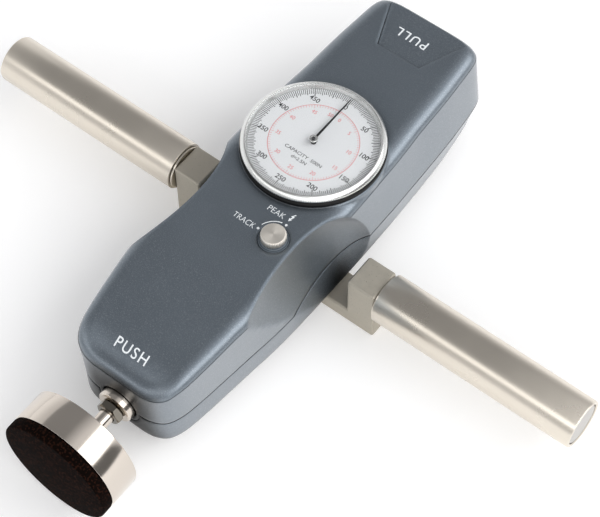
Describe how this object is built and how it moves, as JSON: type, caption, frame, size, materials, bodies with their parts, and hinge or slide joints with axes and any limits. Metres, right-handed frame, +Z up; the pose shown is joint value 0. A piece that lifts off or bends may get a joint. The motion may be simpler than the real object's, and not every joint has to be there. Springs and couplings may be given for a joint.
{
  "type": "headstone stability tester",
  "caption": "dial push and pull force gauge in a rounded housing with finger scoops, on a U bracket with tube handles, with a round push pad",
  "frame": {"origin": "middle of the bracket bar's underside", "axes": "+X along the right handle, -Y towards the push pad, +Z up out of the dial"},
  "size_m": [0.2792, 0.2371, 0.0631],
  "materials": {
    "blue_grey_paint": "satin",
    "blasted_metal": "bead blasted",
    "satin_nickel": "satin",
    "pale_plastic": "matte",
    "bright_metal": "polished",
    "polished_stainless": "polished",
    "satin_aluminium": "turned",
    "black_plastic": "matte",
    "white_dial": "matte",
    "clear_crystal": "clear",
    "cork_rubber": "speckled matte",
    "zinc_steel": "zinc plated",
    "tool_steel": "ground",
    "brass": "turned"
  },
  "bodies": {
    "gauge": {"bezel_seat": "black_plastic", "bracket": "blasted_metal", "bracket_screw_left": "zinc_steel", "bracket_screw_right": "zinc_steel", "case_screw_1": "zinc_steel", "case_screw_2": "zinc_steel", "case_screw_3": "zinc_steel", "case_screw_4": "zinc_steel", "chassis": "zinc_steel", "chassis_screw_front": "zinc_steel", "chassis_screw_rear": "zinc_steel", "guide_bush_front": "brass", "guide_bush_rear": "brass", "handle_cap_left": "pale_plastic", "handle_cap_right": "pale_plastic", "handle_insert_left": "zinc_steel", "handle_insert_right": "zinc_steel", "handle_screw_left": "zinc_steel", "handle_screw_right": "zinc_steel", "handle_spacer_left": "black_plastic", "handle_spacer_right": "black_plastic", "handle_tube_left": "satin_nickel", "handle_tube_right": "satin_nickel", "knob_collar": "black_plastic", "lever_pivot": "tool_steel", "lower_case": "blue_grey_paint", "movement_plate": "brass", "plate_screw_1": "zinc_steel", "plate_screw_2": "zinc_steel", "plate_screw_3": "zinc_steel", "plate_screw_4": "zinc_steel", "spring_front": "tool_steel", "spring_rear": "tool_steel", "upper_cover": "blue_grey_paint"},
    "shaft": {"measuring_shaft": "tool_steel", "rack": "tool_steel", "front_adapter": "polished_stainless", "rear_adapter": "polished_stainless", "jam_nut": "polished_stainless", "pad_disc": "polished_stainless", "pad_facing": "cork_rubber"},
    "idler": {"idler_gear": "brass"},
    "needle": {"pointer_arbor": "tool_steel", "pointer": "black_plastic", "pointer_hub": "tool_steel"},
    "dial_ring": {"bezel": "bright_metal", "crystal": "clear_crystal", "dial_face": "white_dial"},
    "knob": {"mode_knob": "satin_aluminium", "knob_crank": "tool_steel"},
    "lever": {"hold_lever": "tool_steel"}
  },
  "joints": [
    {"name": "measure_slide", "type": "slide", "parent": "gauge", "child": "shaft", "axis": [0, 1, 0], "range_m": [-0.01, 0.01], "stiffness_N_per_m": 50000, "deforming": ["spring_front", "spring_rear"]},
    {"name": "idler_turn", "type": "hinge", "parent": "gauge", "child": "idler", "pos_m": [-0.00758, 0.0068, 0.036], "axis": [0, 0, 1], "range_deg": [-146, 146]},
    {"name": "needle_turn", "type": "hinge", "parent": "gauge", "child": "needle", "pos_m": [0, 0.0194, 0.0594], "axis": [0, 0, 1], "range_deg": [-362, 362]},
    {"name": "dial_ring_turn", "type": "hinge", "parent": "gauge", "child": "dial_ring", "pos_m": [0, 0.0194, 0.0594], "axis": [0, 0, 1], "continuous": true},
    {"name": "mode_select", "type": "hinge", "parent": "gauge", "child": "knob", "pos_m": [0.0137, -0.0227, 0.0574], "axis": [0, 0, -1], "range_deg": [0, 90]},
    {"name": "hold_lever_turn", "type": "hinge", "parent": "gauge", "child": "lever", "pos_m": [0.0137, -0.0003, 0.0452], "axis": [0, 0, 1], "range_deg": [-1, 13]}
  ],
  "couplings": [
    {"joint": "idler_turn", "follows": "measure_slide", "rad_per_m": 251.33},
    {"joint": "needle_turn", "follows": "measure_slide", "rad_per_m": -628.32},
    {"joint": "hold_lever_turn", "follows": "mode_select", "ratio": 0.13333}
  ]
}
